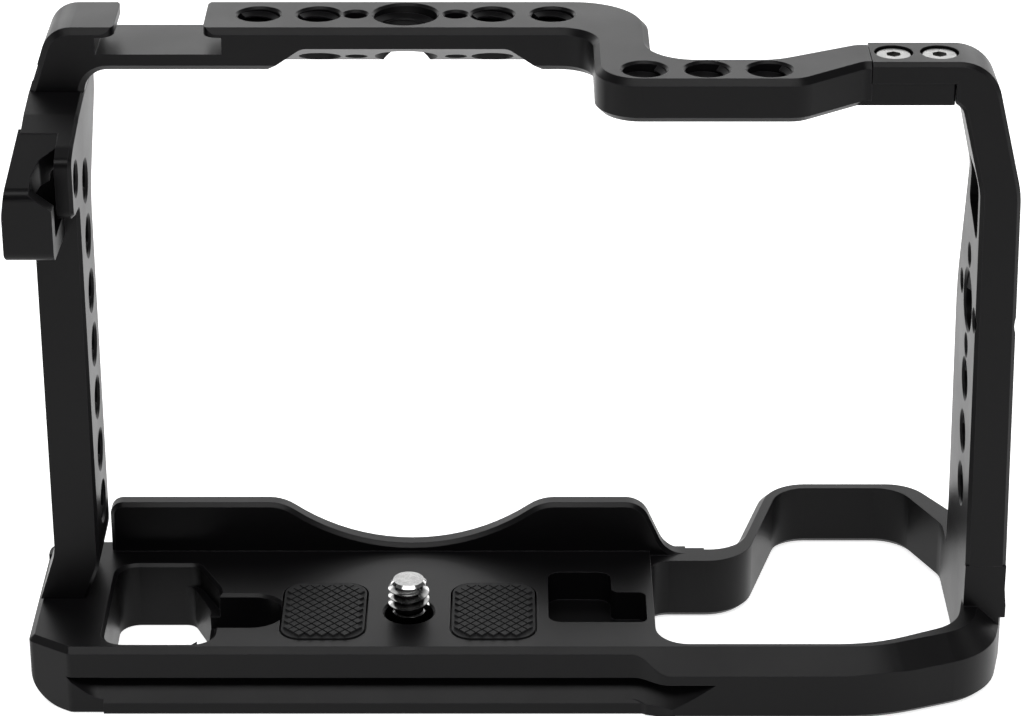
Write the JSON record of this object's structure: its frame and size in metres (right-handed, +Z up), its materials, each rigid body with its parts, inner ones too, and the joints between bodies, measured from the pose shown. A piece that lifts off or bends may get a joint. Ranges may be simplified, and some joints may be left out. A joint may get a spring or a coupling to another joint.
{
  "type": "camera cage",
  "caption": "Open metal cage that bolts under a mirrorless camera, with a lens arc, grip loop, tapped side plates, accessory shoe and a captive camera screw between rubber pads.",
  "frame": {"origin": "on the camera screw's axis, in the plane that the camera's underside rests on", "axes": "X runs across the camera towards the grip side, Y from the rear screen towards the lens, Z up"},
  "size_m": [0.1506, 0.0599, 0.1005],
  "materials": {
    "black_anodised": "bead-blasted black anodising",
    "bright_steel": "bright plated",
    "dark_steel": "black oxide",
    "rubber": "matte, crossed ribs"
  },
  "bodies": {
    "frame": {"base_plate": "black_anodised", "left_side_plate": "black_anodised", "right_side_plate": "black_anodised", "top_frame": "black_anodised", "retaining_ring": "dark_steel", "pad_left": "rubber", "pad_right": "rubber", "top_joint_screws": "bright_steel", "left_joint_screws": "dark_steel", "left_foot_screws": "dark_steel", "right_foot_screws": "dark_steel"},
    "screw_carrier": {"screw_washer": "dark_steel"},
    "screw": {"camera_screw": "bright_steel"}
  },
  "joints": [
    {"name": "screw_lower", "type": "slide", "parent": "frame", "child": "screw_carrier", "axis": [0, 0, -1], "range_m": [0, 0.00381]},
    {"name": "screw_turn", "type": "hinge", "parent": "screw_carrier", "child": "screw", "pos_m": [0, 0, 0], "axis": [0, 0, -1], "range_deg": [0, 1080]}
  ],
  "couplings": [
    {"joint": "screw_turn", "follows": "screw_lower", "rad_per_m": 4947.4}
  ]
}
